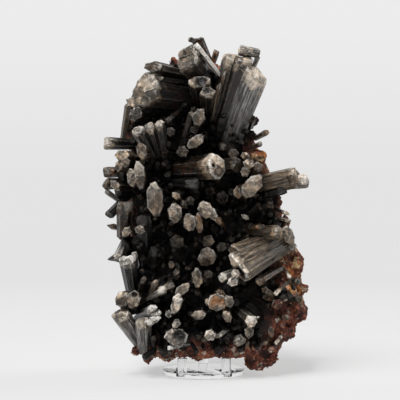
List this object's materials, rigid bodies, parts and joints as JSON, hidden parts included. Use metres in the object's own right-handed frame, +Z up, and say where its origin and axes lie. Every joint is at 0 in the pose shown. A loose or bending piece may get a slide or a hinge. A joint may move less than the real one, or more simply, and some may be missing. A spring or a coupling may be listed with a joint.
{
  "type": "selenite cluster on a stand",
  "caption": "Blunt, flattened smoky selenite crystals covering the front of an upright red-brown rock slab, which rests on a clear acrylic peg stand.",
  "frame": {"origin": "centre of the underside of the stand disc", "axes": "+Z up; the side that carries the crystals faces -Y; +X is to the viewer's right"},
  "size_m": [0.1447, 0.0905, 0.2358],
  "materials": {
    "selenite": "silky cleaved faces with fine lengthwise lines, frosted blunt ends",
    "matrix_rock": "dull and rough, with rust and ochre patches",
    "clear_acrylic": "polished and clear"
  },
  "bodies": {
    "root": {"crystal_finial": "selenite", "crystal_crown": "selenite", "crystal_pillows": "selenite", "crystal_shoulder": "selenite", "crystal_tower": "selenite", "crystal_left_lath": "selenite", "crystal_left_pad": "selenite", "crystal_fingers": "selenite", "crystal_brown_button": "selenite", "crystal_comma": "selenite", "crystal_chip": "selenite", "crystal_dim_button": "selenite", "crystal_thumb": "selenite", "crystal_left_blocks": "selenite", "crystal_double_tablet": "selenite", "crystal_bud_upper": "selenite", "crystal_bud_lower": "selenite", "crystal_dark_lath": "selenite", "crystal_claw": "selenite", "crystal_big_pale": "selenite", "crystal_oval": "selenite", "crystal_twin_hex": "selenite", "crystal_tooth": "selenite", "crystal_clutter": "selenite", "crystal_post": "selenite", "crystal_white_clump": "selenite", "crystal_branch": "selenite", "crystal_deep_pair": "selenite", "crystal_brown_lath": "selenite", "crystal_flake": "selenite", "crystal_band": "selenite", "crystal_edge_plate": "selenite", "crystal_wedge": "selenite", "crystal_glassy_bits": "selenite", "crystal_inner_lath": "selenite", "crystal_cross_laths": "selenite", "crystal_deep_group": "selenite", "crystal_dim_block": "selenite", "crystal_lower_pair": "selenite", "crystal_small_pair": "selenite", "crystal_grey_lath": "selenite", "crystal_white_fan": "selenite", "crystal_dark_panel": "selenite", "crystal_jagged": "selenite", "crystal_bright_pair": "selenite", "crystal_big_slab": "selenite", "crystal_broom": "selenite", "crystal_hollow_hex": "selenite", "crystal_foot_hex": "selenite", "crystal_flat_hex": "selenite", "crystal_orange_cluster": "selenite", "crystal_striated": "selenite", "crystal_grey_block": "selenite", "crystal_pyramid": "selenite", "matrix": "matrix_rock", "stand_base": "clear_acrylic", "stand_peg_front_left": "clear_acrylic", "stand_peg_front_right": "clear_acrylic", "stand_peg_back": "clear_acrylic"}
  },
  "joints": []
}
